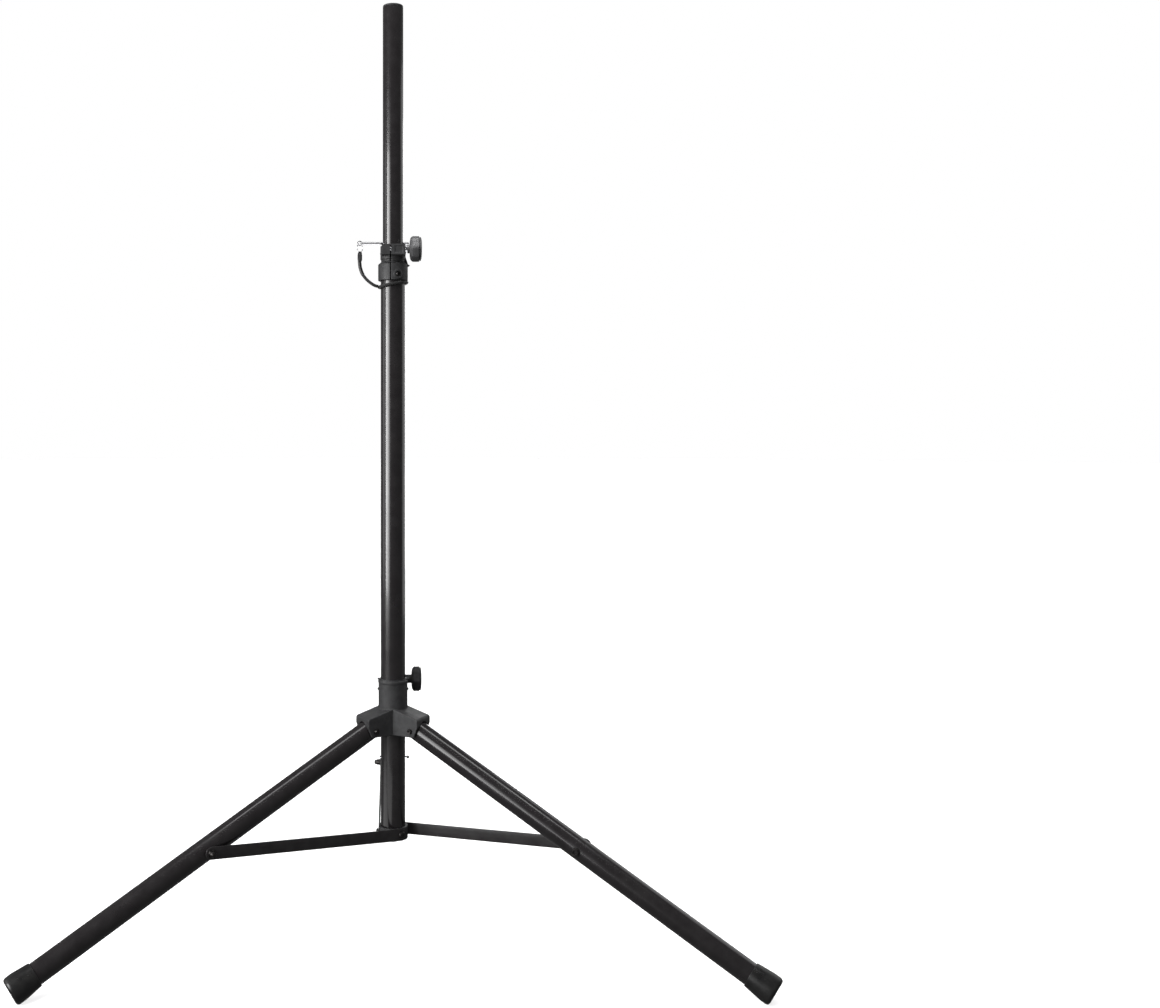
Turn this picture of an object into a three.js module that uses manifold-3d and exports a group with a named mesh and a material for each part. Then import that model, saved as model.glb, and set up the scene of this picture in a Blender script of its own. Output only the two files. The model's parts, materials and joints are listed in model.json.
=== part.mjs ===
// A folding tripod stand for a loudspeaker. Millimetres, +Z up, z = 0 is the floor.
// The column stands on X = 0; in an arm group +X points outwards and +Y runs across the leg.
import * as THREE from 'three';
import { mergeVertices } from 'three/addons/utils/BufferGeometryUtils.js';
import Module from 'manifold-3d';

const wasm = await Module();
wasm.setup();

// Column and mast
const TUBE_R = 21;
const TUBE_BORE = 19.2;
const TUBE_FROM = 152.5;
const TUBE_TO = 1123;
const MAST_R = 17.5;
const MAST_BORE = 16;
const MAST_FROM = 715;
const MAST_TO = 1563.5;
const STAND_TOP = 1567;
const PIN_Z = 1159;
const PIN_HOLES = 6;
const PIN_PITCH = 56;
const PIN_HOLE_R = 2.8;
const BUSH_GAP = 0.25;
const STOP_Z = 276.6;

// Legs and braces: angles are measured from the horizontal
const ARM_AZIMUTHS = { rear: 90, left: 210, right: 330 };
const LEG_ANGLE = THREE.MathUtils.degToRad(27.5);
const LEG_R = 17.5;
const LEG_BORE = 16;
const LEG_INNER = 9;
const FOOT_END = 678;
const FOOT_LENGTH = 42;
const FOOT_R = 22;
const FOOT_ROUND = 5;
const FOOT_FLAT = 0.4;
const PIVOT_R = 45;
const PIVOT_Z = FOOT_ROUND - FOOT_FLAT + (FOOT_END - FOOT_ROUND) * Math.sin(LEG_ANGLE)
  + (FOOT_R - FOOT_ROUND) * Math.cos(LEG_ANGLE);
const BRACE_ON_LEG = 333.9;
const BRACE_ROOT_R = -3;
const BRACE_ROOT_Z = 149;
const BRACE_HALF = 10;
const BRACE_NEAR = 22.4;
const BRACE_FAR = 24.9;
const BRACE_END_R = PIVOT_R + BRACE_ON_LEG * Math.cos(LEG_ANGLE);
const BRACE_END_Z = PIVOT_Z - BRACE_ON_LEG * Math.sin(LEG_ANGLE);
const BRACE_LENGTH = Math.hypot(BRACE_END_R - BRACE_ROOT_R, BRACE_END_Z - BRACE_ROOT_Z);
const BRACE_ANGLE = Math.asin((BRACE_END_Z - BRACE_ROOT_Z) / BRACE_LENGTH);

// Leg hub
const HUB_FROM = 320;
const HUB_TO = 410.7;
const HUB_R = 25;
const HUB_BORE = 22.8;
const ARM_HALF = 22.5;
const SLOT_HALF = 18.2;
const HUB_BOLT_Y = 30;
const HUB_BOLT_Z = 405;
const ARM_REACH = 60;
const LIP_Z = 339;
const ROOF_FROM_Z = 367.5;
const ROOF_TO_Z = 352;
const PIP_Z = 394;

// Mast collar
const COLLAR_FROM = 1094.3;
const COLLAR_TO = 1154;
const COLLAR_STEP = 1126.6;
const SEAM_X = -4;
const SEAM_HALF = 1;
const CLAMP_BOLT_Y = -24.5;
const CLAMP_BOLT_Z = 1146;
const SCREW_Z = 1104;
const SCREW_TURN = -1.21;

// Fasteners and fits
const GAP = 0.3;
const CLAMP_BOLT_R = 4;
const RIVET_R = 3;
const KNOB_R = 22;
const TUBE_SIDES = 28;
const ROD_SIDES = 12;

const black = () => new THREE.MeshStandardMaterial({ color: 0x19191b, roughness: 0.24, metalness: 0.6 });
const plastic = () => new THREE.MeshStandardMaterial({ color: 0x37373a, roughness: 0.62, metalness: 0 });
const grip = () => new THREE.MeshStandardMaterial({ color: 0x58585a, roughness: 0.55, metalness: 0 });
const rubber = () => new THREE.MeshStandardMaterial({ color: 0x1b1b1b, roughness: 0.85, metalness: 0 });
const cord = () => new THREE.MeshStandardMaterial({ color: 0x141414, roughness: 0.9, metalness: 0 });
const steel = () => new THREE.MeshStandardMaterial({ color: 0x2c2c2e, roughness: 0.4, metalness: 0.9 });
const chrome = () => new THREE.MeshStandardMaterial({ color: 0xc8c8cc, roughness: 0.12, metalness: 1 });

// --- shapes -----------------------------------------------------------------------------

const alongAxis = {
  x: (geometry) => geometry.rotateZ(-Math.PI / 2),
  y: (geometry) => geometry,
  z: (geometry) => geometry.rotateX(Math.PI / 2),
};

// A profile of [radius, place along the axis] turned about an axis, outer side first.
function turned(profile, axis = 'z', sides = TUBE_SIDES) {
  const points = profile.map(([radius, along]) => new THREE.Vector2(radius, along));
  return alongAxis[axis](new THREE.LatheGeometry(points, sides));
}

function rod(radius, from, to, axis = 'z', sides = ROD_SIDES) {
  return turned([[0, from], [radius, from], [radius, to], [0, to]], axis, sides);
}

function ring(outer, inner, from, to, axis = 'z', sides = TUBE_SIDES) {
  return turned([[inner, from], [outer, from], [outer, to], [inner, to], [inner, from]], axis, sides);
}

function block(x0, x1, y0, y1, z0, z1) {
  const box = new THREE.BoxGeometry(x1 - x0, y1 - y0, z1 - z0);
  return box.translate((x0 + x1) / 2, (y0 + y1) / 2, (z0 + z1) / 2);
}

// An outline in X and Z, given width along Y and centred on Y = 0.
function slab(outline, width) {
  const shape = outline instanceof THREE.Shape ? outline
    : new THREE.Shape(outline.map(([x, z]) => new THREE.Vector2(x, z)));
  const geometry = new THREE.ExtrudeGeometry(shape, { depth: width, bevelEnabled: false, curveSegments: 6 });
  return geometry.rotateX(Math.PI / 2).translate(0, width / 2, 0);
}

function polygon(sides, radius, turn = 0) {
  return Array.from({ length: sides }, (_, i) => {
    const angle = turn + (i * 2 * Math.PI) / sides;
    return new THREE.Vector2(radius * Math.cos(angle), radius * Math.sin(angle));
  });
}

// A prism of an outline in Y and Z, running along X.
function prismX(points, from, to) {
  const depth = to - from;
  const geometry = new THREE.ExtrudeGeometry(new THREE.Shape(points), { depth, bevelEnabled: false });
  return geometry.rotateX(Math.PI / 2).rotateZ(Math.PI / 2).translate(from, 0, 0);
}

// --- booleans ---------------------------------------------------------------------------

function solid(geometry) {
  const bare = geometry.clone();
  bare.deleteAttribute('normal');
  bare.deleteAttribute('uv');
  const merged = mergeVertices(bare, 1e-4);
  return new wasm.Manifold(new wasm.Mesh({
    numProp: 3,
    vertProperties: new Float32Array(merged.attributes.position.array),
    triVerts: new Uint32Array(merged.index.array),
  }));
}

function shapeOf(body) {
  const mesh = body.getMesh();
  const geometry = new THREE.BufferGeometry();
  geometry.setAttribute('position', new THREE.BufferAttribute(mesh.vertProperties, 3));
  geometry.setIndex(new THREE.BufferAttribute(mesh.triVerts, 1));
  geometry.computeVertexNormals();
  return geometry;
}

const join = (...shapes) => shapeOf(shapes.map(solid).reduce((a, b) => a.add(b)));
const cut = (shape, ...tools) => shapeOf(tools.map(solid).reduce((a, b) => a.subtract(b), solid(shape)));

// --- building the scene -----------------------------------------------------------------

const stand = new THREE.Group();

function add(name, geometry, material, group = stand) {
  const mesh = new THREE.Mesh(geometry, material);
  mesh.name = name;
  group.add(mesh);
  return mesh;
}

function groupAt(parent, x, y, z, turnY = 0, turnZ = 0) {
  const group = new THREE.Group();
  group.position.set(x, y, z);
  group.rotation.set(0, turnY, turnZ);
  parent.add(group);
  return group;
}

function addTubes() {
  const stopHole = rod(PIN_HOLE_R, -25, 25, 'x').translate(0, 0, STOP_Z);
  add('main_tube', cut(ring(TUBE_R, TUBE_BORE, TUBE_FROM, TUBE_TO), stopHole), black());
  add('stop_pin', turned([[0, -23.4], [1.4, -23.4], [2.2, -22.4], [2.2, 23.7], [0, 23.7]], 'x', ROD_SIDES)
    .translate(0, 0, STOP_Z), chrome());
  add('stop_cap', turned([[0, 24], [2.5, 24], [2.5, 26.6], [1.5, 27.6], [0, 27.6]], 'x', ROD_SIDES)
    .translate(0, 0, STOP_Z), steel());
}

function addMast() {
  const holes = Array.from({ length: PIN_HOLES }, (_, i) => rod(PIN_HOLE_R, -20, 20, 'x')
    .translate(0, 0, PIN_Z - i * PIN_PITCH));
  add('mast_tube', cut(ring(MAST_R, MAST_BORE, MAST_FROM, MAST_TO), ...holes), black());
  const plugTop = [[0, MAST_TO - 22], [MAST_BORE - GAP, MAST_TO - 22], [MAST_BORE - GAP, MAST_TO + GAP],
    [17.3, MAST_TO + GAP], [17.3, STAND_TOP - 1.6], [16.7, STAND_TOP - 0.5], [15.4, STAND_TOP],
    [0, STAND_TOP]];
  add('mast_top_plug', turned(plugTop), plastic());
  const guide = [[0, MAST_FROM - 10], [18.2, MAST_FROM - 10], [18.8, MAST_FROM - 9], [18.8, MAST_FROM - GAP],
    [MAST_BORE - GAP, MAST_FROM - GAP], [MAST_BORE - GAP, MAST_FROM + 20], [0, MAST_FROM + 20]];
  add('mast_bottom_guide', turned(guide), plastic());
}

// The bush sits in the top of the main tube and guides the mast.
function addMastBush() {
  const inner = MAST_R + BUSH_GAP;
  const profile = [[inner, TUBE_TO - 45], [18.8, TUBE_TO - 45], [18.8, TUBE_TO + GAP], [20.8, TUBE_TO + GAP],
    [20.8, COLLAR_STEP - GAP], [inner, COLLAR_STEP - GAP], [inner, TUBE_TO - 45]];
  add('mast_bush', turned(profile), plastic());
}

function addCollar() {
  const sleeve = turned([[0, COLLAR_FROM], [25.5, COLLAR_FROM], [25.5, 1121], [24.3, 1123.5], [22, 1125],
    [20.6, 1127.6], [20.6, 1129.4], [21.7, 1131], [21.7, COLLAR_TO], [0, COLLAR_TO]]);
  const jaws = block(-19, 20.8, -32, -16, 1136, COLLAR_TO);
  const bootRoof = slab([[17, 1139], [20.4, 1139], [26, 1122.5], [28.9, 1121.2], [28.9, 1120.2],
    [23.6, 1118], [21.5, 1118]], 5);
  const screwBoss = rod(8, 0, 27, 'x', 20).rotateZ(SCREW_TURN).translate(0, 0, SCREW_Z);
  const bore = turned([[0, 1090], [TUBE_R + GAP, 1090], [TUBE_R + GAP, COLLAR_STEP],
    [MAST_R + GAP, COLLAR_STEP], [MAST_R + GAP, 1160], [0, 1160]]);
  const seam = block(SEAM_X - SEAM_HALF, SEAM_X + SEAM_HALF, -40, 0, 1090, 1160);
  const boltHole = rod(CLAMP_BOLT_R + GAP, -30, 30, 'x').translate(0, CLAMP_BOLT_Y, CLAMP_BOLT_Z);
  const nutPocket = rod(7.6, -30, -13, 'x', 24).translate(0, CLAMP_BOLT_Y, CLAMP_BOLT_Z);
  const screwPocket = rod(4.6, 24, 30, 'x').rotateZ(SCREW_TURN).translate(0, 0, SCREW_Z);
  add('collar', cut(join(sleeve, jaws, bootRoof, screwBoss), bore, seam, boltHole, nutPocket, screwPocket),
    plastic());
  add('collar_screw', turned([[0, 24.3], [4.2, 24.3], [4.2, 26.6], [3.2, 27.8], [0, 27.8]], 'x', ROD_SIDES)
    .rotateZ(SCREW_TURN).translate(0, 0, SCREW_Z), steel());
  add('collar_nut', cut(prismX(polygon(6, 7.2), -18.6, -13.3), rod(CLAMP_BOLT_R + GAP, -20, -10, 'x'))
    .translate(0, CLAMP_BOLT_Y, CLAMP_BOLT_Z), steel());
  add('collar_washer', ring(7.4, CLAMP_BOLT_R + GAP, 21.1, 24.2, 'x', 24)
    .translate(0, CLAMP_BOLT_Y, CLAMP_BOLT_Z), chrome());
}

// A hand knob on the X axis: a neck, an eight-sided grip and a domed face, bored for its bolt.
function knob(neckFrom, gripFrom, gripTo, faceTo, boltTo) {
  const neck = rod(7.4, neckFrom, gripFrom + 2, 'x', 20);
  const grips = prismX(polygon(8, KNOB_R, 0), gripFrom, gripTo);
  const envelope = turned([[0, neckFrom - 1], [13, neckFrom - 1], [13, gripFrom + 0.5], [19, gripFrom + 1.2],
    [21.8, gripFrom + 5], [21.8, gripTo - 1.5], [20.3, gripTo + 0.6], [14, faceTo - 1], [7, faceTo],
    [0, faceTo]], 'x', 24);
  const face = rod(20.2, gripTo - 1, faceTo, 'x', 24);
  const body = solid(join(neck, grips, face)).intersect(solid(envelope));
  return shapeOf(body.subtract(solid(rod(CLAMP_BOLT_R + GAP, neckFrom - 2, boltTo + GAP, 'x'))));
}

function addKnobs() {
  const upper = groupAt(stand, 0, CLAMP_BOLT_Y, CLAMP_BOLT_Z);
  add('upper_knob', knob(24.5, 28.2, 45.5, 49.3, 38), grip(), upper);
  add('upper_knob_bolt', rod(CLAMP_BOLT_R, -18, 38, 'x'), steel(), upper);
  const lower = groupAt(stand, 0, HUB_BOLT_Y, HUB_BOLT_Z);
  add('lower_knob', knob(14.5, 32, 46.5, 49.8, 41), grip(), lower);
  add('lower_knob_bolt', rod(CLAMP_BOLT_R, -19, 41, 'x'), steel(), lower);
}

// --- safety pin and its tether ----------------------------------------------------------

const PIN_R = 2.4;
const RING_CENTRE = new THREE.Vector3(-57, 0, 1151.2);
const RING_R = 8.4;
const RING_TURN = THREE.MathUtils.degToRad(58);

function addPin() {
  const shaft = turned([[0, -56], [PIN_R, -56], [PIN_R, 26.2], [1.6, 27.4], [0, 27.4]], 'x', ROD_SIDES);
  const eye = rod(4.4, -1.3, 1.3, 'y', 20).translate(RING_CENTRE.x, 0, 0);
  const hole = rod(2.7, -3, 3, 'y').translate(RING_CENTRE.x, 0, 0);
  add('safety_pin', cut(join(shaft, eye), hole).translate(0, 0, PIN_Z), chrome());
  const wire = new THREE.TorusGeometry(RING_R, 0.8, 6, 24);
  add('pin_ring', wire.rotateX(Math.PI / 2).rotateZ(RING_TURN).translate(...RING_CENTRE.toArray()), chrome());
}

const STRAP_R = 2.6;
const LOOP_R = TUBE_R + STRAP_R + 2 * GAP;
const LOOP_Z = 1087.6;
const LOOP_TILT = 0.17;

// The loop round the column hangs lower on its left, and the strap climbs from there to the ring.
function addTether() {
  const loop = new THREE.TorusGeometry(LOOP_R, STRAP_R, 8, TUBE_SIDES);
  add('tether_loop', loop.rotateY(-LOOP_TILT).translate(0, 0, LOOP_Z), cord());
  const route = [[-27.6, -9, 1084.6], [-36, -9.5, 1088.4], [-45, -7, 1096], [-52, -4, 1105.5],
    [-56, -2, 1116.5], [-57.6, -0.8, 1127]];
  const path = new THREE.CatmullRomCurve3(route.map((point) => new THREE.Vector3(...point)));
  const section = new THREE.Shape(polygon(8, STRAP_R));
  const strap = new THREE.ExtrudeGeometry(section, { steps: 14, extrudePath: path, bevelEnabled: false });
  add('tether_strap', strap, cord());
  const fold = cut(block(-2.6, 2.6, -4.5, 4.5, 1127.6, 1146.2), rod(2.1, -9, 9, 'x').translate(0, 0, 1142.8));
  add('tether_fold', fold.rotateZ(RING_TURN).translate(RING_CENTRE.x, 0, 0), cord());
}

// --- hub --------------------------------------------------------------------------------

// One arm's outer walls in its own X and Z, from the column out to the mouth.
function armBlock() {
  const outline = new THREE.Shape();
  outline.moveTo(0, HUB_FROM);
  outline.lineTo(ARM_REACH - 7.5, HUB_FROM);
  outline.quadraticCurveTo(ARM_REACH - 3.5, HUB_FROM + 8, ARM_REACH, LIP_Z);
  outline.lineTo(ARM_REACH, ROOF_TO_Z - 3.5);
  outline.quadraticCurveTo(ARM_REACH, ROOF_TO_Z - 0.7, ARM_REACH - 2.5, ROOF_TO_Z);
  outline.lineTo(0, ROOF_FROM_Z);
  return slab(outline, 2 * ARM_HALF);
}

// The space that one leg needs from the open stand to the folded one.
function legSpace() {
  const down = [Math.cos(LEG_ANGLE), -Math.sin(LEG_ANGLE)];
  const far = [PIVOT_R + 70 * down[0], PIVOT_Z + 70 * down[1]];
  const below = slab([[PIVOT_R - 20, 290], [far[0], 290], far, [PIVOT_R, PIVOT_Z], [PIVOT_R - 20, PIVOT_Z]],
    2 * SLOT_HALF);
  const ball = new THREE.SphereGeometry(20.7, 20, 12).rotateX(Math.PI / 2).translate(PIVOT_R, 0, PIVOT_Z);
  const along = rod(SLOT_HALF, 0, 70, 'x', TUBE_SIDES).rotateY(LEG_ANGLE).translate(PIVOT_R, 0, PIVOT_Z);
  return [below, ball, along];
}

function addHub() {
  let body = solid(turned([[0, HUB_FROM], [HUB_R, HUB_FROM], [HUB_R, HUB_TO - 1], [HUB_R - 1, HUB_TO],
    [0, HUB_TO]]));
  const azimuths = Object.values(ARM_AZIMUTHS).map(THREE.MathUtils.degToRad);
  for (const azimuth of azimuths) body = body.add(solid(armBlock().rotateZ(azimuth)));
  const ears = join(rod(7.5, -14, 14, 'x', 24).translate(0, HUB_BOLT_Y, HUB_BOLT_Z),
    block(-14, 14, 15, HUB_BOLT_Y, HUB_BOLT_Z - 7.5, HUB_BOLT_Z + 7.4));
  body = body.add(solid(ears));
  for (const azimuth of azimuths) {
    for (const tool of legSpace()) body = body.subtract(solid(tool.rotateZ(azimuth)));
    const boltHole = rod(RIVET_R + GAP, -30, 30, 'y').translate(PIVOT_R, 0, PIVOT_Z);
    body = body.subtract(solid(boltHole.rotateZ(azimuth)));
  }
  const tools = [
    rod(HUB_BORE, HUB_FROM - 5, HUB_TO + 10, 'z', TUBE_SIDES),
    block(-1.5, 1.5, 15, 45, 376, 420),
    rod(CLAMP_BOLT_R + GAP, -20, 20, 'x').translate(0, HUB_BOLT_Y, HUB_BOLT_Z),
    rod(2.5, -30, 30, 'x').translate(0, 0, PIP_Z),
  ];
  for (const tool of tools) body = body.subtract(solid(tool));
  add('leg_hub', shapeOf(body), plastic());
}

// The bush is held by two pips through the hub's wall and two tabs over its rim.
function addHubBush() {
  const lining = ring(HUB_BORE - GAP, TUBE_R + BUSH_GAP, HUB_FROM, HUB_TO + GAP + 1.4);
  const pips = rod(2.2, -26.8, 26.8, 'x').translate(0, 0, PIP_Z);
  const tabs = block(-26.6, 26.6, -3, 3, HUB_TO + GAP, HUB_TO + GAP + 1.4);
  const shaftSpace = rod(TUBE_R + BUSH_GAP, HUB_FROM - 5, HUB_TO + 10, 'z', TUBE_SIDES);
  add('hub_bush', cut(join(lining, pips, tabs), shaftSpace), plastic());
  add('hub_clamp_nut', cut(prismX(polygon(6, 7), -19.6, -14.3), rod(CLAMP_BOLT_R + GAP, -21, -10, 'x'))
    .translate(0, HUB_BOLT_Y, HUB_BOLT_Z), steel());
}

// --- legs and braces --------------------------------------------------------------------

// A button head on the near side of a shaft along Y.
function headedBolt(shaftR, headR, headFrom, under, end) {
  return turned([[0, headFrom], [headR - 1.2, headFrom], [headR, headFrom + 1.1], [headR, under],
    [shaftR, under], [shaftR, end], [0, end]], 'y', ROD_SIDES);
}

function domeNut(radius, from, to) {
  return turned([[0, from], [radius, from], [radius, from + 2.6], [radius - 1.4, to - 0.6], [0, to]],
    'y', ROD_SIDES);
}

function legTube() {
  const tube = ring(LEG_R, LEG_BORE, -LEG_INNER, FOOT_END - 14, 'x');
  const holes = [0, BRACE_ON_LEG].map((x) => rod(RIVET_R + GAP, -20, 20, 'y').translate(x, 0, 0));
  return cut(tube, ...holes);
}

// The rubber foot is worn flat where it meets the floor, so it is cut in the arm's own frame.
function footCap() {
  const arc = [0, 1, 2, 3].map((i) => {
    const angle = (i * Math.PI) / 6;
    return [FOOT_R - FOOT_ROUND * (1 - Math.cos(angle)), FOOT_END - FOOT_ROUND * (1 - Math.sin(angle))];
  });
  const mouth = FOOT_END - FOOT_LENGTH;
  const outside = [[LEG_R + GAP, mouth], [19, mouth], [19.4, mouth + 1], [20.2, FOOT_END - 22],
    [FOOT_R, FOOT_END - 18], ...arc, [0, FOOT_END], [0, FOOT_END - 13], [LEG_R + GAP, FOOT_END - 13],
    [LEG_R + GAP, mouth]];
  const cap = turned(outside, 'x').rotateY(LEG_ANGLE).translate(PIVOT_R, 0, PIVOT_Z);
  return cut(cap, block(0, 800, -50, 50, -20, 0));
}

function braceBar() {
  const outline = new THREE.Shape();
  outline.moveTo(0, -BRACE_HALF);
  outline.lineTo(BRACE_LENGTH, -BRACE_HALF);
  outline.absarc(BRACE_LENGTH, 0, BRACE_HALF, -Math.PI / 2, Math.PI / 2);
  outline.lineTo(0, BRACE_HALF);
  outline.absarc(0, 0, BRACE_HALF, Math.PI / 2, (3 * Math.PI) / 2);
  for (const x of [0, BRACE_LENGTH]) {
    outline.holes.push(new THREE.Path().absarc(x, 0, RIVET_R + GAP, 0, 2 * Math.PI, true));
  }
  return slab(outline, BRACE_FAR - BRACE_NEAR).translate(0, (BRACE_NEAR + BRACE_FAR) / 2, 0);
}

function addArm(side, degrees) {
  const arm = groupAt(stand, 0, 0, 0, 0, THREE.MathUtils.degToRad(degrees));
  const pivot = groupAt(arm, PIVOT_R, 0, PIVOT_Z);
  add(`pivot_bolt_${side}`, headedBolt(RIVET_R, 4.6, -25.6, -22.8, 22.5), steel(), pivot);
  add(`pivot_nut_${side}`, domeNut(5, 22.8, 26.6), steel(), pivot);

  const leg = groupAt(arm, PIVOT_R, 0, PIVOT_Z, LEG_ANGLE);
  add(`leg_tube_${side}`, legTube(), black(), leg);
  add(`foot_cap_${side}`, footCap(), rubber(), arm);
  const onLeg = groupAt(leg, BRACE_ON_LEG, 0, 0);
  add(`brace_bolt_${side}`, headedBolt(RIVET_R, 7, -21.4, -17.8, 21.1), steel(), onLeg);
  add(`brace_spacer_${side}`, ring(6, RIVET_R + GAP, 17.8, 21.1, 'y', 20), plastic(), onLeg);

  const brace = groupAt(arm, BRACE_ROOT_R, 0, BRACE_ROOT_Z, -BRACE_ANGLE);
  add(`brace_${side}`, braceBar(), black(), brace);
  const nut = turned([[0, 21.4], [RIVET_R, 21.4], [RIVET_R, 25.2], [7, 25.2], [7, 26.6], [5.8, 26.8],
    [5.8, 31.6], [4.8, 33], [4.4, 35.4], [2.4, 37], [0, 37]], 'y', ROD_SIDES);
  add(`brace_nut_${side}`, nut.translate(BRACE_LENGTH, 0, 0), steel(), brace);
  const rivet = turned([[0, 8], [RIVET_R, 8], [RIVET_R, 25.2], [6.4, 25.2], [6, 27.2], [3.6, 28.8],
    [0, 29.2]], 'y', ROD_SIDES);
  add(`bracket_rivet_${side}`, rivet.translate(BRACE_ROOT_R, 0, BRACE_ROOT_Z), steel(), arm);
}

// The bracket closes the column's foot, and the three braces are riveted to its flats.
function addFootBracket() {
  const bottom = BRACE_ROOT_Z - 10.5;
  const top = BRACE_ROOT_Z + 11.5;
  const hull = turned([[0, bottom], [23.5, bottom], [25.5, bottom + 2], [25.5, top - 1], [24.5, top],
    [0, top]]);
  const spigot = rod(TUBE_BORE - GAP, TUBE_FROM - 1, TUBE_FROM + 26, 'z', TUBE_SIDES);
  const recess = ring(TUBE_R + GAP, TUBE_BORE - GAP, TUBE_FROM - GAP, top + 5);
  const tools = [];
  for (const degrees of Object.values(ARM_AZIMUTHS)) {
    const azimuth = THREE.MathUtils.degToRad(degrees);
    tools.push(block(-40, 40, BRACE_NEAR - GAP, 50, bottom - 5, top + 5).rotateZ(azimuth));
    tools.push(rod(RIVET_R + GAP, 7.6, 40, 'y').translate(BRACE_ROOT_R, 0, BRACE_ROOT_Z).rotateZ(azimuth));
  }
  add('foot_bracket', cut(join(cut(hull, recess), spigot), ...tools), plastic());
}

addTubes();
addMast();
addMastBush();
addCollar();
addKnobs();
addPin();
addTether();
addHub();
addHubBush();
addFootBracket();
for (const [side, degrees] of Object.entries(ARM_AZIMUTHS)) addArm(side, degrees);

// The origin is on the floor under the middle of the stand's outline.
const outline = new THREE.Box3().setFromObject(stand);
stand.position.set(-(outline.min.x + outline.max.x) / 2, -(outline.min.y + outline.max.y) / 2, 0);

export default stand;
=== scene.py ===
"""A folding tripod stand for a loudspeaker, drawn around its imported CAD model.

Shapes are written in millimetres in the frame of the part that they belong to, and a matrix
puts them in the row frame, in metres. In an arm's frame +X points outwards and +Y across the leg.
"""
import json
import math

import bmesh
import bpy
from mathutils import Matrix, Vector

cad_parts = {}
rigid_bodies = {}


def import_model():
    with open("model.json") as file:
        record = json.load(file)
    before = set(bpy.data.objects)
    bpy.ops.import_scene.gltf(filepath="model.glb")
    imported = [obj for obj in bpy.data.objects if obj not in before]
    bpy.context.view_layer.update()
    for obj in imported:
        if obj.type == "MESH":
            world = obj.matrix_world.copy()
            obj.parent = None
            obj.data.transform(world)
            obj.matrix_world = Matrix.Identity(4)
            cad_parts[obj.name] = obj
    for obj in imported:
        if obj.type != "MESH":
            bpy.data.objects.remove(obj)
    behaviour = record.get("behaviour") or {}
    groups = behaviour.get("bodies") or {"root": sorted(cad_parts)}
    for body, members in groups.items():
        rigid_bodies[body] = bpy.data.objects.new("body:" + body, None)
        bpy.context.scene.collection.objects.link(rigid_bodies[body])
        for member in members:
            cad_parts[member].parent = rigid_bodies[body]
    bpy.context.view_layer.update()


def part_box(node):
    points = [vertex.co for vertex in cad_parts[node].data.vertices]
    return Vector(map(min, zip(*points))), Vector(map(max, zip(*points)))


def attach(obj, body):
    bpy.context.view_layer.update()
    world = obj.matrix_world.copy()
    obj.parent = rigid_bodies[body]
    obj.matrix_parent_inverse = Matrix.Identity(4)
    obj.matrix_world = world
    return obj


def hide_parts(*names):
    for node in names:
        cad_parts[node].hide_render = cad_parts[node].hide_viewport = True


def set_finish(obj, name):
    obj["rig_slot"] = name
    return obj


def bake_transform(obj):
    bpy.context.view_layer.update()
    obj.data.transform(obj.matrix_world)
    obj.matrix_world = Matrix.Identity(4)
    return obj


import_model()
scene = bpy.context.scene

# --- driving dimensions, mm --------------------------------------------------------------

TUBE_R, TUBE_BORE, TUBE_FROM, TUBE_TO = 21, 19.2, 152.5, 1123
MAST_R, MAST_BORE, MAST_FROM, MAST_TO, STAND_TOP = 17.5, 16, 715, 1563.5, 1567
PIN_Z, PIN_HOLES, PIN_PITCH, PIN_R, PIN_HOLE_R = 1159, 6, 56, 2.4, 2.8
STOP_Z, STOP_R = 276.6, 2.2
LEG_ANGLE = math.radians(27.5)
LEG_R, LEG_BORE, LEG_INNER = 17.5, 16, 9
FOOT_END, FOOT_R, FOOT_MOUTH_R, FOOT_LENGTH, FOOT_FLOOR = 678, 22, 19.2, 42, 13
PIVOT_R, PIVOT_Z = 45, 330.436
BRACE_ON_LEG = 333.9
BRACE_ROOT_R, BRACE_ROOT_Z, BRACE_HALF = -3, 149, 10
BRACE_NEAR, BRACE_FAR, BRACKET_R = 22.4, 24.9, 25.5
HUB_FROM, HUB_TO, HUB_R, HUB_BORE, PIP_Z = 320, 410.7, 25, 22.8, 394
ARM_HALF, ARM_REACH, SLOT_HALF = 22.5, 60, 18.2
LIP_Z, ROOF_TO_Z, ROOF_FROM_Z = 339, 352, 367.5
HUB_BOLT_Y, HUB_BOLT_Z = 30, 405
COLLAR_FROM, COLLAR_TO, COLLAR_STEP = 1094.3, 1154, 1126.6
CLAMP_BOLT_Y, CLAMP_BOLT_Z, CLAMP_BOLT_R, NUT_BORE = -24.5, 1146, 4, 4.3
SEAM_X, SEAM_HALF = -4, 1
SCREW_TURN, SCREW_Z = -1.21, 1104
RIVET_R, GAP, SLIDE_GAP = 3, 0.3, 0.2
RING_X, RING_Z, RING_R, RING_TURN = -57, 1151.2, 8.4, math.radians(58)
CORD_R = 2.6
LOOP_R, LOOP_Z, LOOP_TILT = TUBE_R + CORD_R + 2 * GAP, 1087.6, 0.17

# --- frames ------------------------------------------------------------------------------

MM = 0.001
tube_low, tube_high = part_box("main_tube")
COLUMN_Y = (tube_low[1] + tube_high[1]) / 2
COLUMN = Matrix.Translation((0, COLUMN_Y, 0)) @ Matrix.Scale(MM, 4)
ARMS = {"rear": math.radians(90), "left": math.radians(210), "right": math.radians(330)}

BRACE_END = Vector((PIVOT_R + BRACE_ON_LEG * math.cos(LEG_ANGLE),
                    PIVOT_Z - BRACE_ON_LEG * math.sin(LEG_ANGLE)))
BRACE_RUN = BRACE_END - Vector((BRACE_ROOT_R, BRACE_ROOT_Z))
BRACE_LENGTH, BRACE_ANGLE = BRACE_RUN.length, math.atan2(BRACE_RUN.y, BRACE_RUN.x)


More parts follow.
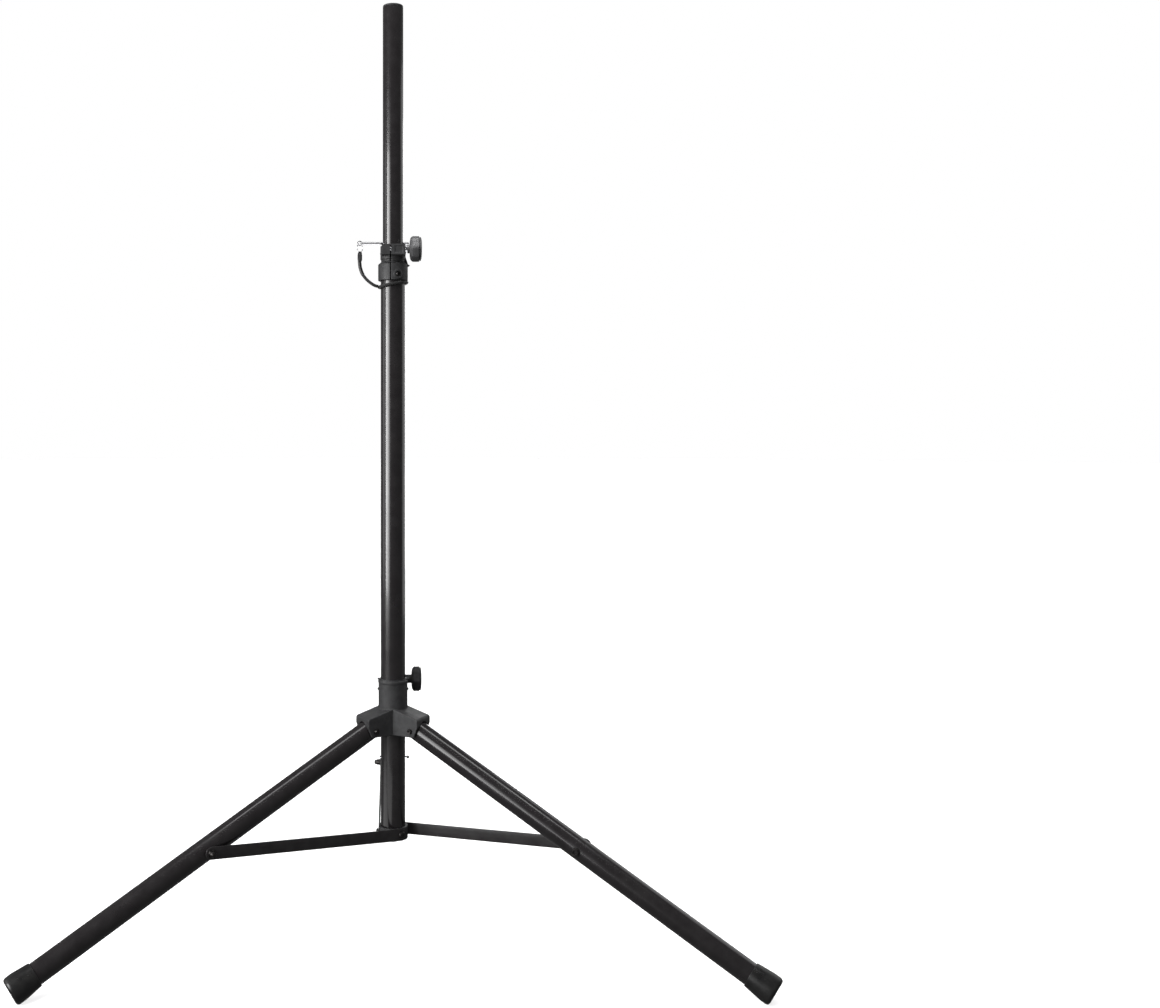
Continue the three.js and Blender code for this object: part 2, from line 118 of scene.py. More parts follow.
def at(x, y, z, about_y=0.0, about_z=0.0):
    """A frame at that place, turned about Y and then about Z."""
    turn = Matrix.Rotation(about_z, 4, "Z") @ Matrix.Rotation(about_y, 4, "Y")
    return Matrix.Translation((x, y, z)) @ turn


# --- materials ---------------------------------------------------------------------------


class Finish:
    """A principled material with helpers for procedural detail in metres."""

    def __init__(self, name, **values):
        self.made = bpy.data.materials.new(name)
        self.made.use_nodes = True
        tree = self.made.node_tree
        self.nodes, self.links = tree.nodes, tree.links
        self.shader = self.nodes["Principled BSDF"]
        self.where = self.nodes.new("ShaderNodeTexCoord").outputs["Object"]
        for socket, value in values.items():
            self.shader.inputs[socket.replace("_", " ")].default_value = value

    def noise(self, scale, detail=3.0, stretch=None):
        """Noise with that many features to the metre, stretched if asked."""
        node = self.nodes.new("ShaderNodeTexNoise")
        node.inputs["Scale"].default_value = scale
        node.inputs["Detail"].default_value = detail
        where = self.where
        if stretch:
            mapping = self.nodes.new("ShaderNodeMapping")
            mapping.inputs["Scale"].default_value = stretch
            self.links.new(where, mapping.inputs["Vector"])
            where = mapping.outputs["Vector"]
        self.links.new(where, node.inputs["Vector"])
        return node.outputs["Fac"]

    def cells(self, scale):
        """Rounded cells with that many to the metre."""
        node = self.nodes.new("ShaderNodeTexVoronoi")
        node.inputs["Scale"].default_value = scale
        self.links.new(self.where, node.inputs["Vector"])
        return node.outputs["Distance"]

    def ramp(self, source, low, high, start=0.35, end=0.65):
        """Source turned into a colour or a grey between low and high."""
        node = self.nodes.new("ShaderNodeValToRGB")
        for stop, place, value in zip(node.color_ramp.elements, (start, end), (low, high)):
            stop.position = place
            stop.color = (value, value, value, 1) if isinstance(value, float) else (*value, 1)
        self.links.new(source, node.inputs["Fac"])
        return node.outputs["Color"]

    def colour(self, source, low, high, start=0.35, end=0.65):
        """The base colour runs from low to high with the source."""
        self.links.new(self.ramp(source, low, high, start, end), self.shader.inputs["Base Color"])

    def roughness(self, source, low, high, start=0.35, end=0.65):
        """The roughness runs from low to high with the source."""
        self.links.new(self.ramp(source, low, high, start, end), self.shader.inputs["Roughness"])

    def bumps(self, *layers):
        """Layers of (source, strength, depth in metres), each on top of the one before."""
        below = None
        for source, strength, depth in layers:
            node = self.nodes.new("ShaderNodeBump")
            node.inputs["Strength"].default_value = strength
            node.inputs["Distance"].default_value = depth
            self.links.new(source, node.inputs["Height"])
            if below:
                self.links.new(below, node.inputs["Normal"])
            below = node.outputs["Normal"]
        self.links.new(below, self.shader.inputs["Normal"])
        return self.made


def tube_paint():
    """Glossy powder coat: a faint orange peel, and slow changes in its gloss."""
    paint = Finish("tube_paint", Coat_Weight=0.55, Coat_Roughness=0.09, Specular_IOR_Level=0.5)
    paint.colour(paint.noise(60), (0.0112, 0.0096, 0.0104), (0.0165, 0.0148, 0.0156))
    paint.roughness(paint.noise(14, 5), 0.2, 0.3)
    return paint.bumps((paint.noise(420, 2), 0.05, 0.0004), (paint.noise(2600, 2), 0.05, 0.0001))


def brace_paint():
    """Satin paint on rolled flat bar, with the bar's faint lengthwise grain."""
    paint = Finish("brace_paint", Coat_Weight=0.12, Coat_Roughness=0.3)
    paint.colour(paint.noise(90), (0.0165, 0.0148, 0.0155), (0.0245, 0.0228, 0.0235))
    paint.roughness(paint.noise(25, 5), 0.36, 0.5)
    along = paint.noise(300, 3, (1, 1, 6))
    return paint.bumps((along, 0.12, 0.0003), (paint.noise(1800, 2), 0.12, 0.0001))


def moulding():
    """Spark-eroded mould texture on glass-filled plastic."""
    plastic = Finish("moulding", Specular_IOR_Level=0.45)
    plastic.colour(plastic.noise(120, 4), (0.027, 0.027, 0.028), (0.039, 0.039, 0.0405))
    plastic.roughness(plastic.noise(40, 4), 0.5, 0.64)
    return plastic.bumps((plastic.noise(900, 4), 0.3, 0.0004), (plastic.cells(1700), 0.16, 0.0002))


def grip():
    """The upper knob's plastic: lighter, finely grained and worn smoother in places."""
    plastic = Finish("grip", Specular_IOR_Level=0.45)
    plastic.colour(plastic.noise(150, 4), (0.046, 0.046, 0.0475), (0.064, 0.064, 0.066))
    plastic.roughness(plastic.noise(60, 4), 0.42, 0.58)
    return plastic.bumps((plastic.noise(1100, 3), 0.3, 0.0003), (plastic.cells(2200), 0.14, 0.0002))


def rubber():
    """Moulded rubber, a little dusty, with a soft sheen where it is rubbed."""
    foot = Finish("rubber", Specular_IOR_Level=0.5)
    foot.colour(foot.noise(70, 6), (0.008, 0.008, 0.0082), (0.016, 0.0158, 0.0155))
    foot.roughness(foot.noise(45, 6), 0.27, 0.45)
    return foot.bumps((foot.noise(700, 4), 0.22, 0.0004), (foot.noise(3000, 2), 0.15, 0.0001))


def tether_cord():
    """Braided black cord: raised cells under a finer fuzz."""
    cord = Finish("tether_cord", Roughness=0.72, Sheen_Weight=0.25, Sheen_Roughness=0.4)
    cord.colour(cord.noise(900, 3), (0.006, 0.006, 0.0062), (0.02, 0.02, 0.0202))
    return cord.bumps((cord.cells(900), 0.6, 0.0006), (cord.noise(2500, 3), 0.3, 0.0002))


def black_steel():
    """Black-oxide steel, brown where it is thin."""
    steel = Finish("black_steel", Metallic=1.0)
    steel.colour(steel.noise(350, 5), (0.045, 0.043, 0.043), (0.085, 0.08, 0.078))
    steel.roughness(steel.noise(500, 4), 0.26, 0.42)
    return steel.bumps((steel.noise(1600, 3), 0.15, 0.0002))


def chrome():
    """Bright plating with fine draw marks."""
    plating = Finish("chrome", Metallic=1.0)
    plating.colour(plating.noise(300, 4), (0.62, 0.62, 0.64), (0.78, 0.78, 0.8))
    plating.roughness(plating.noise(400, 4), 0.08, 0.2)
    return plating.bumps((plating.noise(900, 3, (1, 8, 8)), 0.08, 0.0002))


MATERIALS = {make.__name__: make() for make in
             (tube_paint, brace_paint, moulding, grip, rubber, tether_cord, black_steel, chrome)}

# --- shapes ------------------------------------------------------------------------------

PLACE = {
    "X": lambda side, up, along: (along, side, up),
    "Y": lambda side, up, along: (up, along, side),
    "Z": lambda side, up, along: (side, up, along),
}
CORNER = 4  # how tightly a polygon's rounded corner hugs its circle, per mm


def radius_at(station, angle):
    """A station is (radius, along), or with a number of flats, or with flats and a corner radius."""
    if len(station) == 2:
        return station[0]
    step = 2 * math.pi / station[2]
    flat = station[0] / math.cos((angle + step / 2) % step - step / 2)
    if len(station) == 3:
        return flat
    return -math.log(math.exp(-CORNER * flat) + math.exp(-CORNER * station[3])) / CORNER


def turned(stations, axis="Z", segments=96, closed=False):
    """Stations joined into a turned solid. One of radius 0 closes it on the axis."""
    bm = bmesh.new()
    rings = []
    for station in stations:
        steps = 1 if station[0] == 0 else segments
        ring = []
        for i in range(steps):
            angle = 2 * math.pi * i / segments
            radius = 0 if steps == 1 else radius_at(station, angle)
            ring.append(bm.verts.new(PLACE[axis](radius * math.cos(angle), radius * math.sin(angle),
                                                 station[1])))
        rings.append(ring)
    if closed:
        rings.append(rings[0])
    for a, b in zip(rings, rings[1:]):
        for i in range(segments):
            j = (i + 1) % segments
            corners = [a[i % len(a)], a[j % len(a)], b[j % len(b)], b[i % len(b)]]
            bm.faces.new(list(dict.fromkeys(corners)))
    bmesh.ops.recalc_face_normals(bm, faces=bm.faces)
    return bm


def soft(points, radius, closed=False, steps=4):
    """An outline with its corners rounded off to that radius, or less where an edge is short."""
    points = [Vector(p) for p in points]
    result = []
    for i, corner in enumerate(points):
        if not closed and i in (0, len(points) - 1):
            result.append(corner)
            continue
        back, on = points[i - 1] - corner, points[(i + 1) % len(points)] - corner
        reach = min(radius / math.tan(back.angle(on) / 2), 0.45 * back.length, 0.45 * on.length)
        start, end = corner + back.normalized() * reach, corner + on.normalized() * reach
        for k in range(steps + 1):
            t = k / steps
            result.append(start * (1 - t) ** 2 + corner * (2 * t * (1 - t)) + end * t ** 2)
    return [tuple(p) for p in result]


def rod(radius, low, high, axis="Z", edge=0.0, segments=48):
    """A round bar on an axis, its ends rounded by edge."""
    outline = [(0, low), (radius, low), (radius, high), (0, high)]
    return turned(soft(outline, edge) if edge else outline, axis, segments)


def pipe(outer, inner, low, high, axis="Z", edge=0.4, marks=(), segments=96):
    """A hollow tube. Marks are places along it that get a ring of edges on each side, for holes."""
    walls = [(outer, place) for mark in sorted(marks) for place in (mark - 7, mark + 7)]
    inside = [(inner, along) for _, along in reversed(walls)]
    corners = [(inner, low), (outer, low), (outer, high), (inner, high)]
    bevelled = soft(corners, edge, closed=True)
    half = len(bevelled) // 2
    return turned(bevelled[:half] + walls + bevelled[half:] + inside, axis, segments, closed=True)


def box(x0, x1, y0, y1, z0, z1):
    """A block between those places on each axis."""
    bm = bmesh.new()
    bmesh.ops.create_cube(bm, size=1)
    bmesh.ops.scale(bm, vec=(x1 - x0, y1 - y0, z1 - z0), verts=bm.verts)
    bmesh.ops.translate(bm, vec=((x0 + x1) / 2, (y0 + y1) / 2, (z0 + z1) / 2), verts=bm.verts)
    return bm


def slab(outline, y0, y1):
    """An outline in X and Z, given width along Y."""
    bm = bmesh.new()
    near = [bm.verts.new((x, y0, z)) for x, z in outline]
    far = [bm.verts.new((x, y1, z)) for x, z in outline]
    bm.faces.new(near)
    bm.faces.new(far[::-1])
    for i, _ in enumerate(outline):
        j = (i + 1) % len(outline)
        bm.faces.new((near[i], far[i], far[j], near[j]))
    bmesh.ops.recalc_face_normals(bm, faces=bm.faces)
    return bm


def moved(bm, matrix):
    """The same mesh, put through a matrix."""
    bm.transform(matrix)
    return bm


def joined(*parts):
    """Separate closed shapes in one mesh."""
    whole = bmesh.new()
    for part in parts:
        mesh = bpy.data.meshes.new("part")
        part.to_mesh(mesh)
        part.free()
        whole.from_mesh(mesh)
        bpy.data.meshes.remove(mesh)
    return whole


def swept(points, radius, segments=16):
    """A round bar along points, closed at its ends. Radius may be one per point."""
    bm = bmesh.new()
    points = [Vector(p) for p in points]
    radii = radius if isinstance(radius, list) else [radius] * len(points)
    side = None
    rings = []
    for i, point in enumerate(points):
        ahead = (points[min(i + 1, len(points) - 1)] - points[max(i - 1, 0)]).normalized()
        if side is None:
            side = ahead.orthogonal().normalized()
        side = (side - ahead * side.dot(ahead)).normalized()
        up = ahead.cross(side)
        angles = [2 * math.pi * k / segments for k in range(segments)]
        rings.append([bm.verts.new(point + radii[i] * (side * math.cos(a) + up * math.sin(a)))
                      for a in angles])
    for a, b in zip(rings, rings[1:]):
        for k in range(segments):
            j = (k + 1) % segments
            bm.faces.new((a[k], a[j], b[j], b[k]))
    bm.faces.new(rings[0])
    bm.faces.new(rings[-1][::-1])
    bmesh.ops.recalc_face_normals(bm, faces=bm.faces)
    return bm


def through(points, steps):
    """A smooth Catmull-Rom line through points."""
    points = [Vector(p) for p in points]
    ends = [points[0] * 2 - points[1], *points, points[-1] * 2 - points[-2]]
    line = []
    for a, b, c, d in zip(ends, ends[1:], ends[2:], ends[3:]):
        for k in range(steps):
            t = k / steps
            line.append(0.5 * (2 * b + (c - a) * t + (2 * a - 5 * b + 4 * c - d) * t ** 2
                               + (3 * b - a - 3 * c + d) * t ** 3))
    return line + [points[-1]]


def as_object(bm):
    """A short-lived object, for a modifier to work on."""
    mesh = bpy.data.meshes.new("work")
    bm.to_mesh(mesh)
    bm.free()
    made = bpy.data.objects.new("work", mesh)
    scene.collection.objects.link(made)
    return made


def carved(adds, cuts, voxel=None, passes=6):
    """All the first solids as one, with the others cut out. A voxel size in mm eases its edges."""
    base, tool = as_object(joined(*adds)), as_object(joined(*cuts))
    cut = base.modifiers.new("cut", "BOOLEAN")
    cut.object, cut.solver, cut.operation, cut.use_self = tool, "EXACT", "DIFFERENCE", True
    if voxel:
        remesh = base.modifiers.new("remesh", "REMESH")
        remesh.mode = "VOXEL"
        remesh.voxel_size = voxel
        ease = base.modifiers.new("ease", "SMOOTH")
        ease.factor = 0.5
        ease.iterations = passes
    bpy.context.view_layer.update()
    mesh = bpy.data.meshes.new_from_object(base.evaluated_get(bpy.context.evaluated_depsgraph_get()))
    bm = bmesh.new()
    bm.from_mesh(mesh)
    for done in (base.data, tool.data, mesh):
        bpy.data.meshes.remove(done)  # an object goes with its mesh
    return bm


def piece(name, bm, body, slot, nodes, matrix=COLUMN, sharp=32):
    """A finished piece that rides on a body and stands for CAD nodes."""
    mesh = bpy.data.meshes.new(name)
    bm.transform(matrix)
    bm.to_mesh(mesh)
    bm.free()
    mesh.polygons.foreach_set("use_smooth", [True] * len(mesh.polygons))
    mesh.set_sharp_from_angle(angle=math.radians(sharp))
    mesh.materials.append(MATERIALS[slot])
    made = bpy.data.objects.new(name, mesh)
    scene.collection.objects.link(made)
    if body:
        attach(made, body)
    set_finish(made, slot)
    if nodes:
        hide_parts(*nodes)
    return made


# --- fasteners ---------------------------------------------------------------------------


def socket_head(shaft_r, head_r, height, shaft_to, axis="Y"):
    """A button head with a hexagon socket. Its underside is at 0 and its shaft runs on to shaft_to."""
    key = head_r * 0.42
    crown = [(head_r * (1 - 0.34 * t * t), -height * (0.25 + 0.75 * t)) for t in (0.0, 0.35, 0.7, 1.0)]
    stations = [(0, -height * 0.35), (key, -height * 0.35, 6), (key, -height + 0.05, 6),
                (key * 1.22, -height), *crown[::-1], (head_r, -0.2), (head_r - 0.2, 0), (shaft_r, 0),
                (shaft_r, shaft_to - 0.5), (shaft_r - 0.5, shaft_to), (0, shaft_to)]
    return turned(stations, axis, 48)


def hex_nut(across, low, high, bore, axis="X"):
    """A chamfered hexagon nut with a bore; across is half its width across flats."""
    corner, face, chamfer = across * 1.09, across * 0.96, 0.7
    stations = [(bore, low), (face, low), (across, low + chamfer, 6, corner),
                (across, high - chamfer, 6, corner), (face, high), (bore, high)]
    return turned(stations, axis, 48, closed=True)


def threaded(low, high):
    """A bolt's shaft on X with its thread as close rings."""
    pitch, root, crest = 1.25, 3.45, 3.95
    stations = [(0, low), (3.2, low), (3.8, low + 0.6)]
    for i in range(int((high - low - 2) / pitch)):
        start = low + 1 + i * pitch
        stations += [(root, start), (crest, start + pitch * 0.4), (crest, start + pitch * 0.6)]
    stations += [(root, high - 1), (3.9, high - 0.5), (3.9, high), (0, high)]
    return turned(stations, "X", 32)


# --- the pieces --------------------------------------------------------------------------


def build_main_tube():
    """The outer tube, and the capped pin across it that the open hub comes down to."""
    stop = Matrix.Translation((0, 0, STOP_Z))
    tube = pipe(TUBE_R, TUBE_BORE, TUBE_FROM, TUBE_TO, marks=(STOP_Z,))
    hole = moved(rod(PIN_HOLE_R, -30, 30, "X"), stop)
    piece("main_tube_shell", carved([tube], [hole]), "column", "tube_paint", ["main_tube"])
    stop = COLUMN @ stop
    outline = [(0, -23.4), (1.4, -23.4), (STOP_R, -22.4), (STOP_R, 23.7), (0, 23.7)]
    pin = turned(soft(outline, 0.5), "X", 48)
    piece("stop_pin_fine", pin, "column", "chrome", ["stop_pin"], stop)
    cap = turned(soft([(0, 24), (2.5, 24), (2.5, 26.6), (1.5, 27.6), (0, 27.6)], 0.5), "X", 48)
    piece("stop_cap_fine", cap, "column", "black_steel", ["stop_cap"], stop)


def build_mast():
    """The pole with its pin holes, its top plug, its foot's guide and the column's bush round it."""
    places = [PIN_Z - i * PIN_PITCH for i in range(PIN_HOLES)]
    tube = pipe(MAST_R, MAST_BORE, MAST_FROM, MAST_TO, marks=places)
    holes = [moved(rod(PIN_HOLE_R, -30, 30, "X"), Matrix.Translation((0, 0, place))) for place in places]
    piece("mast_shell", carved([tube], holes), "mast", "tube_paint", ["mast_tube"])
    inside, head_r, groove_z = MAST_BORE - GAP, 17.35, STAND_TOP - 0.5
    plug = soft([(0, MAST_TO - 22), (inside, MAST_TO - 22), (inside, MAST_TO + GAP),
                 (head_r, MAST_TO + GAP), (head_r, STAND_TOP), (13.2, STAND_TOP), (12.8, groove_z),
                 (12.2, groove_z), (11.8, STAND_TOP), (0, STAND_TOP)], 1.3)
    piece("mast_plug", turned(plug), "mast", "moulding", ["mast_top_plug"])
    guide = soft([(0, MAST_FROM - 10), (18.8, MAST_FROM - 10), (18.8, MAST_FROM - GAP),
                  (inside, MAST_FROM - GAP), (inside, MAST_FROM + 20), (0, MAST_FROM + 20)], 1)
    piece("mast_guide", turned(guide), "mast", "moulding", ["mast_bottom_guide"])
    inner = MAST_R + SLIDE_GAP
    bush = [(inner, TUBE_TO - 45), (18.8, TUBE_TO - 45), (18.8, TUBE_TO + GAP), (20.8, TUBE_TO + GAP),
            (20.8, COLLAR_STEP - GAP), (inner, COLLAR_STEP - GAP)]
    piece("mast_bush_fine", turned(soft(bush, 0.4, closed=True), closed=True), "column", "moulding",
          ["mast_bush"])


def build_collar():
    """The split collar: a sleeve on the tube, and two jaws that the upper knob draws together."""
    sleeve = turned(soft([(0, COLLAR_FROM), (25.5, COLLAR_FROM), (25.5, 1122), (21.6, 1125.4),
                          (20.4, 1127.2), (20.4, 1129.4), (21.7, 1131), (21.7, COLLAR_TO),
                          (0, COLLAR_TO)], 0.7))
    jaws = box(-19, 20.8, -32, -14, 1136, COLLAR_TO)
    nose = slab([(17, 1139), (20.4, 1139), (26, 1122.5), (28.9, 1121.2), (28.9, 1120.2), (23.6, 1118),
                 (21.5, 1118)], -2.6, 2.6)
    facing = at(0, 0, SCREW_Z, 0, SCREW_TURN)
    boss = moved(rod(8, 0, 27, "X"), facing)
    rib = turned([(21, 1139.6), (22.3, 1140.4), (22.3, 1141.6), (21, 1142.4)], closed=True)
    clamp = Matrix.Translation((0, CLAMP_BOLT_Y, CLAMP_BOLT_Z))
    cuts = [
        turned([(0, 1090), (TUBE_R + GAP, 1090), (TUBE_R + GAP, COLLAR_STEP), (MAST_R + GAP, COLLAR_STEP),
                (MAST_R + GAP, 1160), (0, 1160)]),
        box(SEAM_X - SEAM_HALF, SEAM_X + SEAM_HALF, -40, 0, 1090, 1160),
        moved(rod(CLAMP_BOLT_R + GAP, -30, 30, "X"), clamp),
        moved(rod(7, -30, -13, "X"), clamp),
        moved(rod(4.6, 24, 30, "X"), facing),
        box(3, 17, -40, -31.2, 1139, 1151),
    ]
    body = carved([sleeve, jaws, nose, boss, rib], cuts, voxel=0.5, passes=4)
    piece("collar_moulding", body, "column", "moulding", ["collar"], sharp=60)
    screw = moved(socket_head(2, 4.1, 2.6, 1.0, "X"), Matrix.Rotation(math.pi, 4, "Z"))
    screw = moved(screw, Matrix.Translation((25.2, 0, 0)))
    piece("collar_screw_fine", moved(screw, facing), "column", "black_steel", ["collar_screw"])
    nut = moved(hex_nut(6.2, -18.6, -13.3, NUT_BORE), clamp)
    piece("collar_nut_fine", nut, "column", "black_steel", ["collar_nut"])
    washer = soft([(NUT_BORE, 21.2), (7.3, 21.2), (7.3, 22.5), (6.2, 22.7), (6.2, 24.2), (NUT_BORE, 24.2)],
                  0.3, closed=True)
    piece("collar_washer_fine", moved(turned(washer, "X", 64, closed=True), clamp), "column", "chrome",
          ["collar_washer"])


def knob(neck_from, grip_from, grip_to, face_to, ridges=()):
    """An eight-sided knob on the X axis, with a coned neck and a domed cap."""
    flats, corner, neck_r, cap_r = 20.6, 21.9, 7.4, 20.2
    stations = [(0, neck_from + 6), (NUT_BORE, neck_from + 6), (NUT_BORE, neck_from), (7.0, neck_from),
                (neck_r, neck_from + 0.4), (neck_r, grip_from - 0.2), (9.5, grip_from),
                (13, grip_from + 0.2), (17.2, grip_from + 1.4, 8, 18.4), (19.6, grip_from + 3.4, 8, 20.8),
                (flats, grip_from + 5.6, 8, corner)]
    for ridge in ridges:
        stations += [(flats, ridge - 0.9, 8, corner), (flats - 0.6, ridge - 0.3, 8, corner - 0.6),
                     (flats - 0.6, ridge + 0.3, 8, corner - 0.6), (flats, ridge + 0.9, 8, corner)]
    stations += [(flats, grip_to - 2, 8, corner), (flats - 0.8, grip_to - 0.9, 8, corner - 0.8),
                 (19.4, grip_to - 0.3), (19.2, grip_to + 0.2), (cap_r, grip_to + 0.6)]
    dome_from = grip_to + 0.9
    stations += [(cap_r * math.cos(t) ** 0.7, dome_from + (face_to - dome_from) * math.sin(t))
                 for t in (0.1, 0.25, 0.45, 0.7, 0.95, 1.2, 1.4)]
    stations.append((0, face_to))
    return moved(turned(stations, "X", 96), Matrix.Rotation(math.pi / 8, 4, "X"))


def build_knobs():
    """Each knob rides on its own body with its bolt."""
    upper = COLUMN @ Matrix.Translation((0, CLAMP_BOLT_Y, CLAMP_BOLT_Z))
    piece("upper_knob_fine", knob(24.5, 28.2, 45.5, 49.3), "upper_knob", "grip", ["upper_knob"], upper,
          sharp=28)
    piece("upper_bolt_fine", threaded(-18, 30), "upper_knob", "chrome", ["upper_knob_bolt"], upper)
    lower = COLUMN @ Matrix.Translation((0, HUB_BOLT_Y, HUB_BOLT_Z))
    piece("lower_knob_fine", knob(14.5, 32, 46.5, 49.8, ridges=(39.5, 42)), "lower_knob", "moulding",
          ["lower_knob"], lower, sharp=28)
    piece("lower_bolt_fine", threaded(-19, 20), "lower_knob", "black_steel", ["lower_knob_bolt"], lower)


def build_pin():
    """The safety pin with an eye, and a split ring of two turns in the eye."""
    outline = [(0, -55.5), (PIN_R, -55.5), (PIN_R, 25.4), (1.2, 27.4), (0, 27.4)]
    shaft = turned(soft(outline, 0.6), "X", 48)
    eye = moved(rod(4.4, -1.3, 1.3, "Y", edge=0.5), Matrix.Translation((RING_X, 0, 0)))
    hole = moved(rod(2.7, -3, 3, "Y"), Matrix.Translation((RING_X, 0, 0)))
    piece("safety_pin_fine", carved([shaft, eye], [hole]), "pin", "chrome", ["safety_pin"],
          COLUMN @ Matrix.Translation((0, 0, PIN_Z)))
    steps, turns, first, wire, lead = 96, 2, 0.9, 0.48, 0.9
    coil = []
    for i in range(steps + 1):
        angle = 2 * math.pi * turns * i / steps + first
        coil.append((RING_R * math.cos(angle), lead * (i / steps - 0.5), RING_R * math.sin(angle)))
    ring = at(RING_X, 0, RING_Z, 0, RING_TURN)
    piece("pin_ring_fine", swept(coil, wire, 12), "pin", "chrome", ["pin_ring"], COLUMN @ ring)


def build_fold():
    """The cord's end is folded through the ring and held by a crimped sleeve."""
    sleeve = turned(soft([(0, 1127.6), (3.3, 1127.6), (4.4, 1131), (4.4, 1139.4), (3.6, 1140.6),
                          (0, 1140.6)], 0.8), segments=48)
    thickness, crimps, crimp_depth, crimp_half = 0.62, (1133.4, 1137), 0.22, 0.9
    for vert in sleeve.verts:
        dent = sum(math.exp(-((vert.co.z - crimp) / crimp_half) ** 2) for crimp in crimps)
        vert.co.x *= thickness * (1 - crimp_depth * dent)
    half, height = 2.4, 3.9
    arch = [(0, half * math.cos(a), 1140 + height * math.sin(a)) for a in
            [math.pi * k / 16 for k in range(17)]]
    eye = [(0, half, 1137), *arch, (0, -half, 1137)]
    whole = joined(sleeve, swept(eye, 1.7, 14))
    return piece("tether_fold_fine", moved(whole, at(RING_X, 0, 0, 0, RING_TURN)), "pin", "tether_cord",
                 ["tether_fold"])


def build_tether():
    """The cord is looped round the column, and climbs into a shrunk sleeve on the pin's ring."""
    tilt = at(0, 0, LOOP_Z, -LOOP_TILT)
    loop = turned([(LOOP_R + CORD_R * math.cos(a), CORD_R * math.sin(a))
                   for a in [2 * math.pi * k / 16 for k in range(16)]], "Z", 96, closed=True)
    noose = piece("tether_loop_fine", moved(loop, tilt), "column", "tether_cord", ["tether_loop"])
    line = through([(-25.4, -8.7, 1084.2), (-30, -9.5, 1085.2), (-36, -9.5, 1088.4), (-45, -7, 1096),
                    (-52, -4, 1105.5), (-56, -2, 1116.5), (-57.6, -0.8, 1128.2)], 10)
    split = 40  # the point of the line where the cord goes into the sleeve
    lower, upper = [COLUMN @ p for p in line[:split + 1]], [COLUMN @ p for p in line[split - 1:]]
    strap = piece("tether_strap_fine", swept(line[:split + 1], CORD_R, 16), None, "tether_cord",
                  ["tether_strap"])
    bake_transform(strap)
    sleeve_r = [CORD_R + 0.25] + [CORD_R + 0.5] * (len(upper) - 1)  # shrunk tighter at its mouth
    sleeve = piece("tether_sleeve", swept(line[split - 1:], sleeve_r, 20), None, "rubber", [])
    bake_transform(sleeve)
    build_fold()


def arm_outline():
    """One arm's side: the foot, the mouth's curve, the hood's lip and its roof."""
    foot, bend, lip = (52.5, HUB_FROM), (56.5, 328), (ARM_REACH, LIP_Z)
    curve = [tuple(a * (1 - t) ** 2 + 2 * b * t * (1 - t) + c * t * t for a, b, c in zip(foot, bend, lip))
             for t in [k / 8 for k in range(9)]]
    return [(0, HUB_FROM), *curve, (ARM_REACH, ROOF_TO_Z - 3.5), (ARM_REACH - 0.6, ROOF_TO_Z - 1.4),
            (ARM_REACH - 2.5, ROOF_TO_Z), (0, ROOF_FROM_Z)]


def leg_space():
    """The room that a leg needs from the open stand to the folded one."""
    reach, ball_r, bottom, back = 70, 20.2, 290, PIVOT_R - 20
    far = (PIVOT_R + reach * math.cos(LEG_ANGLE), PIVOT_Z - reach * math.sin(LEG_ANGLE))
    below = slab([(back, bottom), (far[0], bottom), far, (PIVOT_R, PIVOT_Z), (back, PIVOT_Z)],
                 -SLOT_HALF, SLOT_HALF)
    arc = [(ball_r * math.cos(a), ball_r * math.sin(a)) for a in
           [math.radians(10 * k) for k in range(-8, 9)]]
    ball = turned([(0, -ball_r), *arc, (0, ball_r)], segments=64)
    along = moved(rod(SLOT_HALF, 0, reach, "X", segments=96), Matrix.Rotation(LEG_ANGLE, 4, "Y"))
    pivot = Matrix.Translation((PIVOT_R, 0, PIVOT_Z))
    return [below, moved(ball, pivot), moved(along, pivot)]


